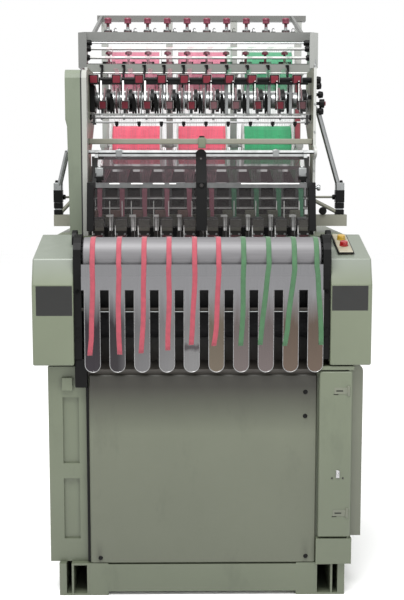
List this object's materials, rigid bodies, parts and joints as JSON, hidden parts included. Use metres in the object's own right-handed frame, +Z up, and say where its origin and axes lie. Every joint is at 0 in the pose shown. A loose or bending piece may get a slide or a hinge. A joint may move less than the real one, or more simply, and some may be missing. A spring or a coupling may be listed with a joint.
{
  "type": "ribbon needle loom",
  "caption": "Multi-head needle loom that weaves narrow ribbons side by side, with a warp creel behind, a smoked guard and polished take-off tongues.",
  "frame": {"origin": "bottom centre of the bounding box, on the floor under the middle of the machine and its creel", "axes": "+Z up; the operator stands at -Y and looks along +Y; +X is to the operator's right"},
  "size_m": [1.136, 1.69, 2.17],
  "materials": {
    "green_enamel": "satin",
    "pale_green_enamel": "satin",
    "grey_machined_metal": "satin",
    "black_enamel": "satin",
    "polished_steel": "polished",
    "black_rubber": "matte",
    "smoked_acrylic": "gloss",
    "pink_warp_yarn": "matte",
    "green_warp_yarn": "matte",
    "cream_panel": "satin"
  },
  "bodies": {
    "loom_frame": {"front_base_rail": "green_enamel", "rear_base_rail": "green_enamel", "left_base_channel": "green_enamel", "right_base_channel": "green_enamel", "machine_bed": "green_enamel", "upper_housing": "green_enamel", "front_panel": "green_enamel", "left_side_casting": "green_enamel", "right_side_casting": "green_enamel", "electric_cabinet": "green_enamel", "left_wing_cover": "green_enamel", "right_wing_cover": "green_enamel", "belt_cover": "green_enamel", "cabinet_side_box": "pale_green_enamel", "left_upright": "pale_green_enamel", "right_upright": "pale_green_enamel", "upper_cross_bar": "pale_green_enamel", "rear_cross_beam": "pale_green_enamel", "left_rack_plate": "pale_green_enamel", "right_rack_plate": "pale_green_enamel", "second_rack_bar": "pale_green_enamel", "top_tension_bar": "pale_green_enamel", "lower_tension_bar": "pale_green_enamel", "creel_base": "pale_green_enamel", "creel_post_1": "pale_green_enamel", "creel_post_2": "pale_green_enamel", "creel_post_3": "pale_green_enamel", "creel_post_4": "pale_green_enamel", "creel_top_bar": "pale_green_enamel", "needle_heads": "grey_machined_metal", "reed_batten": "grey_machined_metal", "left_rocker_rod": "grey_machined_metal", "right_rocker_rod": "grey_machined_metal", "left_take_off_bracket": "black_enamel", "right_take_off_bracket": "black_enamel", "upper_feed_bar": "black_enamel", "lower_feed_bar": "black_enamel", "warp_stop_rail": "black_enamel", "ribbon_chute": "polished_steel", "chute_bar": "polished_steel", "guide_rods": "polished_steel", "upper_rack_rod": "polished_steel", "lower_rack_rod": "polished_steel", "control_panel": "cream_panel"},
    "door": {"cabinet_door": "green_enamel"},
    "front_cover": {"cover_frame": "grey_machined_metal", "cover_upper_pane": "smoked_acrylic", "cover_lower_pane": "smoked_acrylic", "cover_centre_strip": "black_enamel"},
    "take_off": {"take_off_roller": "polished_steel"},
    "draw": {"draw_roller": "black_rubber"},
    "feed_shaft": {"weft_feed_shaft": "polished_steel"},
    "front_heald": {"front_heald_frame": "polished_steel"},
    "back_heald": {"back_heald_frame": "polished_steel"},
    "upper_left_beam": {"upper_left_warp_beam": "pink_warp_yarn"},
    "upper_middle_beam": {"upper_middle_warp_beam": "pink_warp_yarn"},
    "upper_right_beam": {"upper_right_warp_beam": "green_warp_yarn"},
    "lower_left_beam": {"lower_left_warp_beam": "pink_warp_yarn"},
    "lower_middle_beam": {"lower_middle_warp_beam": "pink_warp_yarn"},
    "lower_right_beam": {"lower_right_warp_beam": "green_warp_yarn"}
  },
  "joints": [
    {"name": "cabinet_door_hinge", "type": "hinge", "parent": "loom_frame", "child": "door", "pos_m": [0.4996, -0.832, 0.5], "axis": [0, 0, 1], "range_deg": [0, 110]},
    {"name": "front_cover_hinge", "type": "hinge", "parent": "loom_frame", "child": "front_cover", "pos_m": [0, -0.457, 1.527], "axis": [-1, 0, 0], "range_deg": [0, 70]},
    {"name": "take_off_roller_turn", "type": "hinge", "parent": "loom_frame", "child": "take_off", "pos_m": [0, -0.771, 1.176], "axis": [1, 0, 0], "continuous": true},
    {"name": "draw_roller_turn", "type": "hinge", "parent": "loom_frame", "child": "draw", "pos_m": [0, -0.7, 0.935], "axis": [1, 0, 0], "continuous": true},
    {"name": "weft_feed_shaft_turn", "type": "hinge", "parent": "loom_frame", "child": "feed_shaft", "pos_m": [0, -0.215, 1.725], "axis": [1, 0, 0], "continuous": true},
    {"name": "front_heald_lift", "type": "slide", "parent": "loom_frame", "child": "front_heald", "axis": [0, 0, 1], "range_m": [0, 0.036]},
    {"name": "back_heald_lift", "type": "slide", "parent": "loom_frame", "child": "back_heald", "axis": [0, 0, 1], "range_m": [-0.036, 0]},
    {"name": "upper_left_beam_turn", "type": "hinge", "parent": "loom_frame", "child": "upper_left_beam", "pos_m": [-0.2845, 0.655, 1.908], "axis": [1, 0, 0], "continuous": true},
    {"name": "upper_middle_beam_turn", "type": "hinge", "parent": "loom_frame", "child": "upper_middle_beam", "pos_m": [0.0165, 0.655, 1.908], "axis": [1, 0, 0], "continuous": true},
    {"name": "upper_right_beam_turn", "type": "hinge", "parent": "loom_frame", "child": "upper_right_beam", "pos_m": [0.3175, 0.655, 1.908], "axis": [1, 0, 0], "continuous": true},
    {"name": "lower_left_beam_turn", "type": "hinge", "parent": "loom_frame", "child": "lower_left_beam", "pos_m": [-0.2845, 0.655, 1.573], "axis": [1, 0, 0], "continuous": true},
    {"name": "lower_middle_beam_turn", "type": "hinge", "parent": "loom_frame", "child": "lower_middle_beam", "pos_m": [0.0165, 0.655, 1.573], "axis": [1, 0, 0], "continuous": true},
    {"name": "lower_right_beam_turn", "type": "hinge", "parent": "loom_frame", "child": "lower_right_beam", "pos_m": [0.3175, 0.655, 1.573], "axis": [1, 0, 0], "continuous": true}
  ]
}
